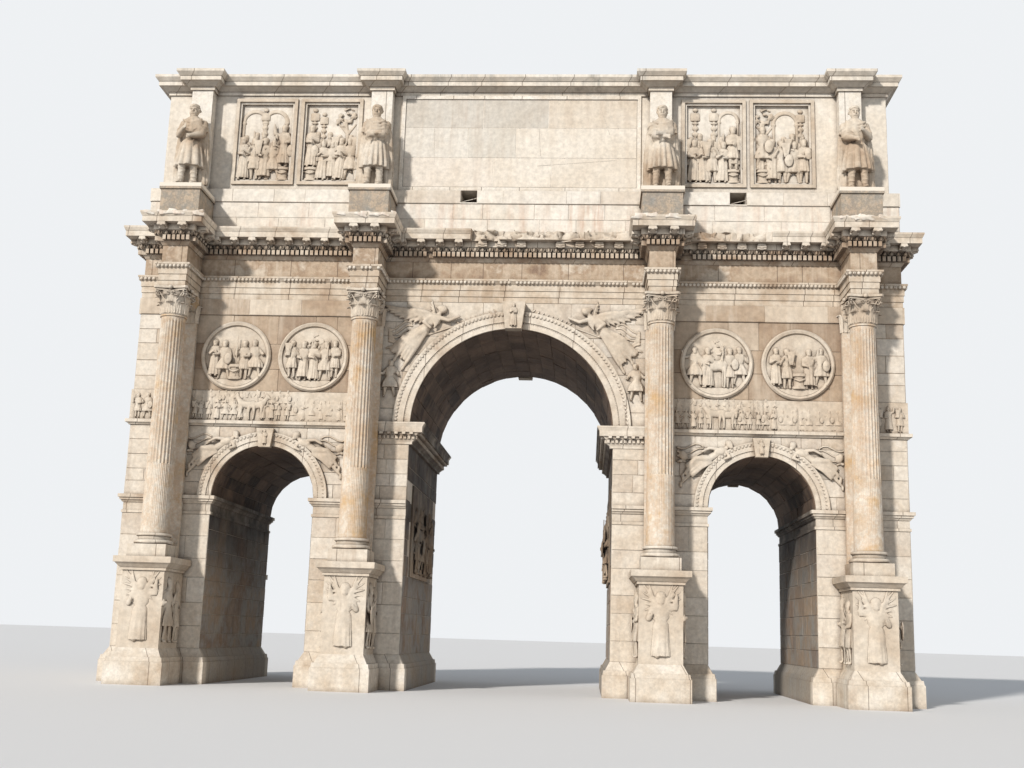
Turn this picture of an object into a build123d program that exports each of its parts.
"""Triumphal arch with three passages, detached columns and a hollow attic.

The arch stands on level ground with its front towards -Y. The origin lies on the
ground below the middle of the centre passage, halfway through the thickness.
Sizes are in millimetres.
"""

from build123d import *
from math import cos, radians, sin
import os

os.makedirs("parts", exist_ok=True)

# Plan of the masonry, from the middle outwards
centre_span = 6500
inner_pier_width = 2973
side_span = 3324
outer_pier_width = 2853
depth = 7400

# Heights of the lower storey
plinth_height = 670
plinth_moulding_height = 400
plinth_reach = 240
side_springing = 5850
side_impost_height = 590
centre_springing = 8250
centre_impost_top = 8350
centre_impost_height = 700

# Columns, pedestals and pilasters
inner_axis_setback = 1445
outer_axis_setback = 1343
axis_to_wall = 1100
pedestal_half_width = 650
pedestal_top = 3780
pedestal_cap_height = 410
pedestal_cap_reach = 240
column_plinth_half_width = 600
column_plinth_height = 390
column_base_height = 350
column_torus_swell = 70
shaft_foot_radius = 440
shaft_neck_radius = 380
capital_height = 900
flute_count = 20
plain_shaft_share = 0.3
pilaster_half_width = 450
pilaster_reach = 200
pilaster_base_height = 500
pilaster_capital_height = 880
pilaster_moulding_reach = 60

# Archivolts, keystones and imposts
centre_archivolt_width = 560
side_archivolt_width = 430
archivolt_reach = 130
centre_key_height = 890
centre_key_gap = 50
centre_key_width = 750
centre_key_reach = 400
side_key_height = 600
side_key_width = 540
side_key_reach = 230
key_taper = 0.7
key_drop = 70
side_impost_reach = 150
centre_impost_reach = 500
centre_impost_front_reach = 190

# Bands and roundels on the walls
string_gap = 78
string_height = 170
string_reach = 150
narrow_frieze_height = 990
narrow_frieze_reach = 50
roundel_radius = 1155
roundel_spacing = 2560
roundel_gap = 10
wall_over_roundels = 770
roundel_reach = 140
roundel_rim_width = 130

# Entablature
break_half_width = 405
architrave_height = 760
frieze_height = 600
bed_moulding_height = 450
cornice_height = 520
cornice_reach = 620

# Attic
attic_recess = 250
attic_wall_thickness = 1150
socle_height = 1060
ledge_height = 460
ledge_reach = 40
ledge_slope_height = 80
attic_wall_top = 19700
attic_cornice_height = 600
attic_cornice_reach = 460
roof_thickness = 400
roof_bearing = 600
attic_pilaster_half_width = 360
attic_pilaster_reach = 450
window_width = 550
window_height = 460
left_window_x = -1635
right_window_x = 7240
window_sill_rise = 40

# Relief panels of the attic
panel_width = 2130
panel_top_gap = 120
panel_gap = 130
panel_pair_centre = 7600
panel_reach = 70
panel_frame_width = 110
panel_rise = 180
inscription_half_width = 4050
inscription_frame_width = 120

# Statues and what they stand on
statue_pedestal_half_width = 640
statue_pedestal_height = 960
statue_pedestal_cap_height = 200
statue_pedestal_cap_reach = 50
statue_height = 2950
statue_to_wall = 850
statue_half_width = 480
statue_half_depth = 380

# Reliefs on the walls of the centre passage
passage_panel_height = 2950
passage_panel_length = 5000
passage_panel_rise = 2450
passage_panel_reach = 60

# Places worked out from the sizes above
half_depth = depth / 2
centre_edge = centre_span / 2
inner_pier_edge = centre_edge + inner_pier_width
outer_pier_edge = inner_pier_edge + side_span
half_length = outer_pier_edge + outer_pier_width
side_arch_x = inner_pier_edge + side_span / 2
plinth_top = plinth_height + plinth_moulding_height
inner_axis = centre_edge + inner_axis_setback
outer_axis = outer_pier_edge + outer_axis_setback
axes = (-outer_axis, -inner_axis, inner_axis, outer_axis)
axis_depth = half_depth + axis_to_wall
pedestal_front = axis_to_wall + pedestal_half_width
bay_inner_edge = inner_axis + pilaster_half_width
bay_outer_edge = outer_axis - pilaster_half_width
bay_centre = (bay_inner_edge + bay_outer_edge) / 2
centre_key_top = centre_springing + centre_edge - key_drop + centre_key_height
side_key_top = side_springing + side_span / 2 - key_drop + side_key_height
string_base = side_key_top + string_gap
string_top = string_base + string_height
narrow_frieze_top = string_top + narrow_frieze_height
roundel_z = narrow_frieze_top + roundel_gap + roundel_radius
wall_head = roundel_z + roundel_radius + wall_over_roundels
architrave_base = max(wall_head, centre_key_top + centre_key_gap)
shaft_base = pedestal_top + column_plinth_height + column_base_height
shaft_top = architrave_base - capital_height
architrave_top = architrave_base + architrave_height
frieze_top = architrave_top + frieze_height
bed_top = frieze_top + bed_moulding_height
cornice_top = bed_top + cornice_height
break_reach = axis_to_wall + break_half_width
attic_half_length = half_length - attic_recess
attic_half_depth = half_depth - attic_recess
attic_inner_half_length = attic_half_length - attic_wall_thickness
attic_inner_half_depth = attic_half_depth - attic_wall_thickness
socle_top = cornice_top + socle_height
ledge_top = socle_top + ledge_height
attic_slope_top = ledge_top + ledge_slope_height
ledge_face = half_depth + ledge_reach
statue_pedestal_top = cornice_top + statue_pedestal_height + statue_pedestal_cap_height
attic_top = attic_wall_top + attic_cornice_height
panel_base = attic_slope_top + panel_rise
panel_height = attic_wall_top - panel_top_gap - panel_base


def block(x_from, x_to, y_from, y_to, z_from, z_to, mode=Mode.ADD):
    """Add a rectangular block between two corners to the part being built."""
    middle = ((x_from + x_to) / 2, (y_from + y_to) / 2, (z_from + z_to) / 2)
    with Locations(middle):
        Box(abs(x_to - x_from), abs(y_to - y_from), abs(z_to - z_from), mode=mode)


def moulding(outline, base, steps):
    """Stack layers on an outline. Each step is a height and its reach below and above."""
    level = base
    for height, reach_below, reach_above in steps:
        with BuildSketch(Plane.XY.offset(level)) as below:
            with BuildLine():
                Polyline(*outline(reach_below), close=True)
            make_face()
        if reach_below == reach_above:
            extrude(below.sketch, amount=height)
        else:
            with BuildSketch(Plane.XY.offset(level + height)) as above:
                with BuildLine():
                    Polyline(*outline(reach_above), close=True)
                make_face()
            loft([below.sketch, above.sketch], ruled=True)
        level += height


def broken_outline(half_x, half_y, break_half, break_out):
    """Plan of a wall with a break over each column, as a function of how far it grows."""

    def outline(grow):
        front = [(-half_x - grow, -half_y - grow)]
        for axis in axes:
            left = axis - break_half - grow
            right = axis + break_half + grow
            out = half_y + break_out + grow
            front += [(left, -half_y - grow), (left, -out), (right, -out), (right, -half_y - grow)]
        front += [(half_x + grow, -half_y - grow)]
        rear = [(-x, -y) for x, y in front]
        return front + rear

    return outline


def pier_outline(x_from, x_to, axis):
    """Plan of a pier with its two pedestals, as a function of how far it grows."""

    def outline(grow):
        left = axis - pedestal_half_width - grow
        right = axis + pedestal_half_width + grow
        wall = half_depth + grow
        out = half_depth + pedestal_front + grow
        front = [(x_from - grow, -wall), (left, -wall), (left, -out), (right, -out), (right, -wall)]
        front += [(x_to + grow, -wall)]
        rear = [(x_to + grow, wall), (right, wall), (right, out), (left, out), (left, wall)]
        return front + rear + [(x_from - grow, wall)]

    return outline


def free_sides_outline(x_from, x_to, y_from, y_to, grows):
    """Plan of a rectangle that grows on its left, right, front and rear by its own shares."""
    left_share, right_share, front_share, rear_share = grows

    def outline(grow):
        left = x_from - grow * left_share
        right = x_to + grow * right_share
        front = y_from - grow * front_share
        rear = y_to + grow * rear_share
        return [(left, front), (right, front), (right, rear), (left, rear)]

    return outline


def keep_as(name, part):
    """Label a finished piece and write it to its own file."""
    part.label = name
    export_step(part, f"parts/{name}.step")


# Foundation courses, one under each pier and its pedestals
piers = (
    ("outer_left_pier", -half_length, -outer_pier_edge, -outer_axis),
    ("inner_left_pier", -inner_pier_edge, -centre_edge, -inner_axis),
    ("inner_right_pier", centre_edge, inner_pier_edge, inner_axis),
    ("outer_right_pier", outer_pier_edge, half_length, outer_axis),
)
plinth_steps = (
    (plinth_height, plinth_reach, plinth_reach),
    (plinth_moulding_height * 0.35, plinth_reach * 0.9, plinth_reach * 0.8),
    (plinth_moulding_height * 0.65, plinth_reach * 0.6, 0),
)
with BuildPart() as pier_plinths:
    for _, x_from, x_to, axis in piers:
        moulding(pier_outline(x_from, x_to, axis), 0, plinth_steps)
keep_as("pier_plinths", pier_plinths.part)

# Piers, up to the imposts of the side arches
for pier_name, x_from, x_to, _ in piers:
    with BuildPart() as pier:
        block(x_from, x_to, -half_depth, half_depth, plinth_top, side_springing - side_impost_height)
    keep_as(pier_name, pier.part)


def pilaster_cuts(z_from, z_to):
    """Cut away the strips of wall in front of which the pilasters stand."""
    for axis in axes:
        for side in (-1, 1):
            block(
                axis - pilaster_half_width,
                axis + pilaster_half_width,
                side * half_depth,
                side * (half_depth + pilaster_reach * 2),
                z_from,
                z_to,
                mode=Mode.SUBTRACT,
            )


# Impost courses of the side arches
side_impost_base = side_springing - side_impost_height
side_impost_steps = (
    (side_impost_height * 0.15, side_impost_reach * 0.25, side_impost_reach * 0.25),
    (side_impost_height * 0.42, 0, 0),
    (side_impost_height * 0.13, side_impost_reach * 0.2, side_impost_reach * 0.5),
    (side_impost_height * 0.12, side_impost_reach * 0.7, side_impost_reach * 0.7),
    (side_impost_height * 0.18, side_impost_reach, side_impost_reach),
)
with BuildPart() as side_imposts:
    for _, x_from, x_to, _ in piers:
        faces_centre_left = 0 if x_from == centre_edge else 1
        faces_centre_right = 0 if x_to == -centre_edge else 1
        grows = (faces_centre_left, faces_centre_right, 1, 1)
        outline = free_sides_outline(x_from, x_to, -half_depth, half_depth, grows)
        moulding(outline, side_impost_base, side_impost_steps)
    pilaster_cuts(side_impost_base, side_springing)
keep_as("side_imposts", side_imposts.part)

# Masonry round the side arches
for side, arch_name in ((-1, "left_arch_masonry"), (1, "right_arch_masonry")):
    with BuildPart() as side_masonry:
        block(
            side * centre_edge,
            side * half_length,
            -half_depth,
            half_depth,
            side_springing,
            centre_springing,
        )
        with Locations(Location((side * side_arch_x, 0, side_springing), (90, 0, 0))):
            Cylinder(side_span / 2, depth, mode=Mode.SUBTRACT)
    keep_as(arch_name, side_masonry.part)

# Masonry round the centre arch, and the walls beside it
with BuildPart() as centre_arch_masonry:
    block(-bay_inner_edge, bay_inner_edge, -half_depth, half_depth, centre_springing, architrave_base)
    with Locations(Location((0, 0, centre_springing), (90, 0, 0))):
        Cylinder(centre_edge, depth, mode=Mode.SUBTRACT)
    block(
        -centre_edge,
        centre_edge,
        -half_depth,
        half_depth,
        centre_springing,
        centre_impost_top,
        mode=Mode.SUBTRACT,
    )
keep_as("centre_arch_masonry", centre_arch_masonry.part)

for side, wall_name in ((-1, "upper_left_wall"), (1, "upper_right_wall")):
    with BuildPart() as upper_wall:
        block(
            side * bay_inner_edge,
            side * half_length,
            -half_depth,
            half_depth,
            centre_springing,
            architrave_base,
        )
    keep_as(wall_name, upper_wall.part)

# Imposts of the centre arch, which turn the corners of the inner piers
centre_impost_base = centre_impost_top - centre_impost_height
front_share = centre_impost_front_reach / centre_impost_reach
centre_impost_steps = (
    (centre_impost_height * 0.1, centre_impost_reach * 0.2, centre_impost_reach * 0.2),
    (centre_impost_height * 0.12, centre_impost_reach * 0.2, centre_impost_reach * 0.4),
    (centre_impost_height * 0.18, centre_impost_reach * 0.42, centre_impost_reach * 0.42),
    (centre_impost_height * 0.14, centre_impost_reach * 0.46, centre_impost_reach * 0.62),
    (centre_impost_height * 0.24, centre_impost_reach * 0.85, centre_impost_reach * 0.85),
    (centre_impost_height * 0.14, centre_impost_reach * 0.85, centre_impost_reach * 0.97),
    (centre_impost_height * 0.08, centre_impost_reach, centre_impost_reach),
)
impost_far_edge = inner_axis - pilaster_half_width
with BuildPart() as centre_imposts:
    for side in (-1, 1):
        x_from = min(side * centre_edge, side * impost_far_edge)
        x_to = max(side * centre_edge, side * impost_far_edge)
        grows = (1 if side > 0 else 0, 1 if side < 0 else 0, front_share, front_share)
        outline = free_sides_outline(x_from, x_to, -half_depth, half_depth, grows)
        moulding(outline, centre_impost_base, centre_impost_steps)
        block(
            x_from,
            x_to,
            -half_depth,
            half_depth,
            centre_impost_base,
            centre_impost_top,
            mode=Mode.SUBTRACT,
        )
keep_as("centre_imposts", centre_imposts.part)


def archivolt(x, z, radius, width, face, side):
    """Add a moulded half ring round an arch, standing on a wall face that looks to side."""
    profile = (
        (radius, 0),
        (radius, archivolt_reach * 0.5),
        (radius + width * 0.38, archivolt_reach * 0.5),
        (radius + width * 0.38, archivolt_reach * 0.75),
        (radius + width * 0.78, archivolt_reach * 0.75),
        (radius + width * 0.9, archivolt_reach),
        (radius + width, archivolt_reach),
        (radius + width, 0),
    )
    with BuildSketch(Plane.XY.offset(z)) as section:
        with BuildLine():
            Polyline(*[(x + out, side * (face + proud)) for out, proud in profile], close=True)
        make_face()
    revolve(section.sketch, axis=Axis((x, 0, z), (0, -1, 0)), revolution_arc=180)


def key_wedge(x, top, height, width, face, side, reach, mode=Mode.ADD):
    """Add the tapering front of a keystone between its foot and its top."""
    corners = (
        (x - width * key_taper / 2, top - height),
        (x + width * key_taper / 2, top - height),
        (x + width / 2, top),
        (x - width / 2, top),
    )
    with BuildSketch(Plane.XZ.offset(-side * face)) as front:
        with BuildLine():
            Polyline(*corners, close=True)
        make_face()
    extrude(front.sketch, amount=-side * reach, mode=mode)


# Moulded rings round the arches
with BuildPart() as centre_archivolts:
    for side in (-1, 1):
        archivolt(0, centre_springing, centre_edge, centre_archivolt_width, half_depth, side)
        key_wedge(
            0,
            centre_key_top,
            centre_key_height,
            centre_key_width,
            half_depth,
            side,
            centre_key_reach,
            mode=Mode.SUBTRACT,
        )
    split(bisect_by=Plane.XY.offset(centre_impost_top), keep=Keep.TOP)
keep_as("centre_archivolts", centre_archivolts.part)

with BuildPart() as side_archivolts:
    for x in (-side_arch_x, side_arch_x):
        for side in (-1, 1):
            archivolt(x, side_springing, side_span / 2, side_archivolt_width, half_depth, side)
            key_wedge(
                x,
                side_key_top,
                side_key_height,
                side_key_width,
                half_depth,
                side,
                side_key_reach,
                mode=Mode.SUBTRACT,
            )
keep_as("side_archivolts", side_archivolts.part)

# Keystones, scrolled out towards their tops
with BuildPart() as centre_keystones:
    for side in (-1, 1):
        key_wedge(0, centre_key_top, centre_key_height, centre_key_width, half_depth, side, centre_key_reach)
keep_as("centre_keystones", centre_keystones.part)

with BuildPart() as side_keystones:
    for x in (-side_arch_x, side_arch_x):
        for side in (-1, 1):
            key_wedge(x, side_key_top, side_key_height, side_key_width, half_depth, side, side_key_reach)
keep_as("side_keystones", side_keystones.part)


def wall_band(base, steps):
    """Add a band along the side bays and the ends, broken at the pilasters."""

    def outline(grow):
        x = half_length + grow
        y = half_depth + grow
        return [(-x, -y), (x, -y), (x, y), (-x, y)]

    height = sum(step[0] for step in steps)
    moulding(outline, base, steps)
    block(-half_length, half_length, -half_depth, half_depth, base, base + height, mode=Mode.SUBTRACT)
    block(-inner_axis, inner_axis, -depth, depth, base, base + height, mode=Mode.SUBTRACT)
    pilaster_cuts(base, base + height)


# String courses below the narrow friezes
string_steps = (
    (string_height * 0.4, string_reach * 0.4, string_reach * 0.6),
    (string_height * 0.6, string_reach, string_reach),
)
with BuildPart() as string_courses:
    wall_band(string_base, string_steps)
keep_as("string_courses", string_courses.part)

# Narrow friezes of small figures, as plain slabs
with BuildPart() as narrow_friezes:
    wall_band(string_top, ((narrow_frieze_height, narrow_frieze_reach, narrow_frieze_reach),))
keep_as("narrow_friezes", narrow_friezes.part)

# Roundels: a dished disc in a round rim
with BuildPart() as roundel:
    with BuildSketch(Plane.XZ):
        with BuildLine():
            Polyline(
                (0, 0),
                (roundel_radius, 0),
                (roundel_radius, roundel_reach * 0.6),
                (roundel_radius - roundel_rim_width * 0.4, roundel_reach),
                (roundel_radius - roundel_rim_width, roundel_reach * 0.8),
                (roundel_radius - roundel_rim_width * 1.2, roundel_reach * 0.35),
                (0, roundel_reach * 0.35),
                close=True,
            )
        make_face()
    revolve(axis=Axis.Z)

with BuildPart() as roundels:
    for bay in (-bay_centre, bay_centre):
        for x in (bay - roundel_spacing / 2, bay + roundel_spacing / 2):
            with Locations(
                Location((x, -half_depth, roundel_z), (90, 0, 0)),
                Location((x, half_depth, roundel_z), (-90, 0, 0)),
            ):
                add(roundel.part)
    with Locations(
        Location((-half_length, 0, roundel_z), (0, -90, 0)),
        Location((half_length, 0, roundel_z), (0, 90, 0)),
    ):
        add(roundel.part)
keep_as("roundels", roundels.part)

# Relief slabs on the walls of the centre passage
passage_panel_base = plinth_top + passage_panel_rise
with BuildPart() as passage_panels:
    for side in (-1, 1):
        block(
            side * (centre_edge - passage_panel_reach),
            side * centre_edge,
            -passage_panel_length / 2,
            passage_panel_length / 2,
            passage_panel_base,
            passage_panel_base + passage_panel_height,
        )
keep_as("passage_panels", passage_panels.part)


# Pedestals, bound to the piers behind them
pedestal_cap_steps = (
    (pedestal_top - pedestal_cap_height - plinth_top, 0, 0),
    (pedestal_cap_height * 0.2, pedestal_cap_reach * 0.25, pedestal_cap_reach * 0.25),
    (pedestal_cap_height * 0.35, pedestal_cap_reach * 0.35, pedestal_cap_reach * 0.85),
    (pedestal_cap_height * 0.45, pedestal_cap_reach, pedestal_cap_reach),
)


def row_of(side, build_one):
    """Build one piece on each column axis, in front of the wall that looks to side."""
    for axis in axes:
        build_one(axis, side)


def pedestal(axis, side):
    y_wall = side * half_depth
    y_out = side * (half_depth + pedestal_front)
    grows = (1, 1, 1 if side < 0 else 0, 1 if side > 0 else 0)
    outline = free_sides_outline(
        axis - pedestal_half_width,
        axis + pedestal_half_width,
        min(y_wall, y_out),
        max(y_wall, y_out),
        grows,
    )
    moulding(outline, plinth_top, pedestal_cap_steps)


for side, row in ((-1, "front"), (1, "rear")):
    with BuildPart() as pedestals:
        row_of(side, pedestal)
    keep_as(f"{row}_pedestals", pedestals.part)

# Column bases: a square plinth under two round mouldings
with BuildPart() as column_base:
    with Locations((0, 0, column_plinth_height / 2)):
        Box(2 * column_plinth_half_width, 2 * column_plinth_half_width, column_plinth_height)
    with BuildSketch(Plane.XZ):
        with BuildLine():
            low = column_plinth_height
            high = low + column_base_height
            lower_torus = low + column_base_height * 0.42
            upper_torus = low + column_base_height * 0.72
            wide = column_plinth_half_width - column_torus_swell
            waist = shaft_foot_radius * 1.1
            shoulder = shaft_foot_radius * 1.15
            swelling = ((low + lower_torus) / 2, (upper_torus + high) / 2)
            Line((0, low), (wide, low))
            ThreePointArc((wide, low), (wide + column_torus_swell, swelling[0]), (wide, lower_torus))
            Line((wide, lower_torus), (waist, lower_torus))
            Line((waist, lower_torus), (waist, upper_torus))
            Line((waist, upper_torus), (shoulder, upper_torus))
            ThreePointArc((shoulder, upper_torus), (shoulder + column_torus_swell / 2, swelling[1]), (shoulder, high))
            Line((shoulder, high), (0, high))
            Line((0, high), (0, low))
        make_face()
    revolve(axis=Axis.Z)

# Shafts: plain below, fluted above, and narrower at the neck
shaft_height = shaft_top - shaft_base
plain_height = shaft_height * plain_shaft_share
fluted_height = shaft_height - plain_height
flute_start_radius = shaft_foot_radius - (shaft_foot_radius - shaft_neck_radius) * plain_shaft_share
with BuildPart() as column_shaft:
    with Locations((0, 0, plain_height / 2)):
        Cone(shaft_foot_radius, flute_start_radius, plain_height)
    for level, radius in ((plain_height, flute_start_radius), (shaft_height, shaft_neck_radius)):
        with BuildSketch(Plane.XY.offset(level)):
            Circle(radius)
            with PolarLocations(radius, flute_count):
                Circle(radius * sin(radians(180 / flute_count)) * 0.8, mode=Mode.SUBTRACT)
    loft(ruled=True)

# Capitals: a leafy bell under a square slab
capital_bell_height = capital_height * 0.84
abacus_half_width = shaft_neck_radius * 1.45
with BuildPart() as column_capital:
    with Locations((0, 0, capital_bell_height / 2)):
        Cone(shaft_neck_radius, shaft_neck_radius * 1.3, capital_bell_height)
    with Locations((0, 0, (capital_bell_height + capital_height) / 2)):
        Box(2 * abacus_half_width, 2 * abacus_half_width, capital_height - capital_bell_height)

for side, row in ((-1, "front"), (1, "rear")):
    places = [(axis, side * axis_depth) for axis in axes]
    for piece_name, piece, level in (
        ("column_bases", column_base, pedestal_top),
        ("column_shafts", column_shaft, shaft_base),
        ("capitals", column_capital, shaft_top),
    ):
        with BuildPart() as column_pieces:
            with Locations(*[(x, y, level) for x, y in places]):
                add(piece.part)
        keep_as(f"{row}_{piece_name}", column_pieces.part)

# Pilasters on the wall behind the columns
pilaster_shaft_height = architrave_base - pedestal_top - pilaster_base_height - pilaster_capital_height
pilaster_steps = (
    (pilaster_base_height, pilaster_moulding_reach, pilaster_moulding_reach),
    (pilaster_shaft_height, 0, 0),
    (pilaster_capital_height, 0, pilaster_moulding_reach),
)


def pilaster(axis, side):
    y_wall = side * half_depth
    y_out = side * (half_depth + pilaster_reach)
    grows = (0, 0, 1 if side < 0 else 0, 1 if side > 0 else 0)
    outline = free_sides_outline(
        axis - pilaster_half_width,
        axis + pilaster_half_width,
        min(y_wall, y_out),
        max(y_wall, y_out),
        grows,
    )
    moulding(outline, pedestal_top, pilaster_steps)


for side, row in ((-1, "front"), (1, "rear")):
    with BuildPart() as pilasters:
        row_of(side, pilaster)
    keep_as(f"{row}_pilasters", pilasters.part)

# Entablature, which breaks forward over each column
entablature = broken_outline(half_length, half_depth, break_half_width, break_reach)
with BuildPart() as architrave:
    moulding(
        entablature,
        architrave_base,
        (
            (architrave_height * 0.25, 20, 20),
            (architrave_height * 0.27, 45, 45),
            (architrave_height * 0.27, 70, 70),
            (architrave_height * 0.13, 80, 150),
            (architrave_height * 0.08, 160, 160),
        ),
    )
keep_as("architrave", architrave.part)

with BuildPart() as frieze:
    moulding(entablature, architrave_top, ((frieze_height, 0, 0),))
keep_as("frieze", frieze.part)

with BuildPart() as bed_moulding:
    moulding(
        entablature,
        frieze_top,
        (
            (bed_moulding_height * 0.25, 20, 90),
            (bed_moulding_height * 0.4, 130, 130),
            (bed_moulding_height * 0.35, 150, 250),
        ),
    )
keep_as("bed_moulding", bed_moulding.part)

with BuildPart() as main_cornice:
    moulding(
        entablature,
        bed_top,
        (
            (cornice_height * 0.35, 270, 270),
            (cornice_height * 0.35, cornice_reach * 0.9, cornice_reach * 0.9),
            (cornice_height * 0.2, cornice_reach * 0.92, cornice_reach),
            (cornice_height * 0.1, cornice_reach, cornice_reach),
        ),
    )
keep_as("main_cornice", main_cornice.part)

# Attic walls round the hollow chamber, with the windows cut through
attic_steps = (
    (socle_height, attic_recess, attic_recess),
    (ledge_height, attic_recess + ledge_reach, attic_recess + ledge_reach),
    (ledge_slope_height, attic_recess + ledge_reach, 0),
    (attic_wall_top - attic_slope_top, 0, 0),
)
for side, wall_name in ((-1, "attic_front_wall"), (1, "attic_rear_wall")):
    outer = side * attic_half_depth
    inner = side * attic_inner_half_depth
    grows = (1, 1, 1 if side < 0 else 0, 1 if side > 0 else 0)
    with BuildPart() as long_wall:
        outline = free_sides_outline(
            -attic_half_length, attic_half_length, min(outer, inner), max(outer, inner), grows
        )
        moulding(outline, cornice_top, attic_steps)
        for x in (left_window_x, right_window_x):
            block(
                x - window_width / 2,
                x + window_width / 2,
                side * depth,
                0,
                socle_top + window_sill_rise,
                socle_top + window_sill_rise + window_height,
                mode=Mode.SUBTRACT,
            )
    keep_as(wall_name, long_wall.part)

for side, wall_name in ((-1, "attic_left_wall"), (1, "attic_right_wall")):
    outer = side * attic_half_length
    inner = side * attic_inner_half_length
    grows = (1 if side < 0 else 0, 1 if side > 0 else 0, 0, 0)
    with BuildPart() as end_wall:
        outline = free_sides_outline(
            min(outer, inner),
            max(outer, inner),
            -attic_inner_half_depth,
            attic_inner_half_depth,
            grows,
        )
        moulding(outline, cornice_top, attic_steps)
    keep_as(wall_name, end_wall.part)

# Roof slab, borne on the walls inside the cornice
roof_half_length = attic_inner_half_length + roof_bearing
roof_half_depth = attic_inner_half_depth + roof_bearing
with BuildPart() as attic_roof:
    block(
        -roof_half_length,
        roof_half_length,
        -roof_half_depth,
        roof_half_depth,
        attic_wall_top,
        attic_wall_top + roof_thickness,
    )
keep_as("attic_roof", attic_roof.part)

with BuildPart() as attic_cornice:
    moulding(
        broken_outline(
            attic_half_length, attic_half_depth, attic_pilaster_half_width, attic_pilaster_reach
        ),
        attic_wall_top,
        (
            (attic_cornice_height * 0.2, 60, 60),
            (attic_cornice_height * 0.2, 100, 250),
            (attic_cornice_height * 0.25, attic_cornice_reach * 0.75, attic_cornice_reach * 0.75),
            (attic_cornice_height * 0.2, attic_cornice_reach * 0.8, attic_cornice_reach),
            (attic_cornice_height * 0.15, attic_cornice_reach, attic_cornice_reach),
        ),
    )
    block(
        -roof_half_length,
        roof_half_length,
        -roof_half_depth,
        roof_half_depth,
        attic_wall_top,
        attic_top,
        mode=Mode.SUBTRACT,
    )
keep_as("attic_cornice", attic_cornice.part)

# Pilasters of the attic, fitted over the ledge
with BuildPart() as attic_pilasters:
    for side in (-1, 1):
        out = side * (attic_half_depth + attic_pilaster_reach)
        profile = (
            (out, statue_pedestal_top),
            (side * ledge_face, statue_pedestal_top),
            (side * ledge_face, ledge_top),
            (side * attic_half_depth, attic_slope_top),
            (side * attic_half_depth, attic_wall_top),
            (out, attic_wall_top),
        )
        for axis in axes:
            with BuildSketch(Plane.YZ.offset(axis)):
                with BuildLine():
                    Polyline(*profile, close=True)
                make_face()
            extrude(amount=attic_pilaster_half_width, both=True)
keep_as("attic_pilasters", attic_pilasters.part)


def framed_panel(x_from, x_to, z_from, z_to, side, frame_width):
    """Add a slab with a raised frame to the face of the attic that looks to side."""
    face = side * attic_half_depth
    proud = side * (attic_half_depth + panel_reach)
    ground = side * (attic_half_depth + panel_reach * 0.35)
    block(x_from, x_to, face, proud, z_from, z_to)
    block(
        x_from + frame_width,
        x_to - frame_width,
        ground,
        proud,
        z_from + frame_width,
        z_to - frame_width,
        mode=Mode.SUBTRACT,
    )


# Relief panels in pairs, and the inscription panel between them left bare
with BuildPart() as relief_panels:
    for side in (-1, 1):
        for pair in (-panel_pair_centre, panel_pair_centre):
            for shift in (-1, 1):
                middle = pair + shift * (panel_width + panel_gap) / 2
                framed_panel(
                    middle - panel_width / 2,
                    middle + panel_width / 2,
                    panel_base,
                    panel_base + panel_height,
                    side,
                    panel_frame_width,
                )
keep_as("relief_panels", relief_panels.part)

with BuildPart() as inscription_panels:
    for side in (-1, 1):
        framed_panel(
            -inscription_half_width,
            inscription_half_width,
            attic_slope_top,
            attic_wall_top,
            side,
            inscription_frame_width,
        )
keep_as("inscription_panels", inscription_panels.part)

# Statue pedestals, standing on the breaks of the cornice against the socle
statue_pedestal_front = half_depth + break_reach
for side, row in ((-1, "front"), (1, "rear")):
    with BuildPart() as statue_pedestals:
        for axis in axes:
            block(
                axis - statue_pedestal_half_width,
                axis + statue_pedestal_half_width,
                side * half_depth,
                side * statue_pedestal_front,
                cornice_top,
                cornice_top + statue_pedestal_height,
            )
            block(
                axis - statue_pedestal_half_width - statue_pedestal_cap_reach,
                axis + statue_pedestal_half_width + statue_pedestal_cap_reach,
                side * ledge_face,
                side * (statue_pedestal_front + statue_pedestal_cap_reach),
                cornice_top + statue_pedestal_height,
                statue_pedestal_top,
            )
    keep_as(f"{row}_statue_pedestals", statue_pedestals.part)

# Robed statues on low slabs. Each section is a share of the height, width and depth.
statue_sections = (
    (0.00, 1.00, 1.00),
    (0.05, 1.00, 1.00),
    (0.06, 0.80, 0.80),
    (0.30, 0.72, 0.78),
    (0.55, 0.82, 0.88),
    (0.74, 0.95, 0.90),
    (0.83, 0.80, 0.60),
    (0.86, 0.28, 0.36),
    (0.93, 0.32, 0.45),
    (1.00, 0.16, 0.22),
)
with BuildPart() as statue:
    for share, wide, deep in statue_sections:
        with BuildSketch(Plane.XY.offset(share * statue_height)):
            Ellipse(statue_half_width * wide, statue_half_depth * deep)
    loft(ruled=True)

for side, row in ((-1, "front"), (1, "rear")):
    y = side * (half_depth + statue_to_wall)
    with BuildPart() as statues:
        with Locations(*[(axis, y, statue_pedestal_top) for axis in axes]):
            add(statue.part)
    keep_as(f"{row}_statues", statues.part)
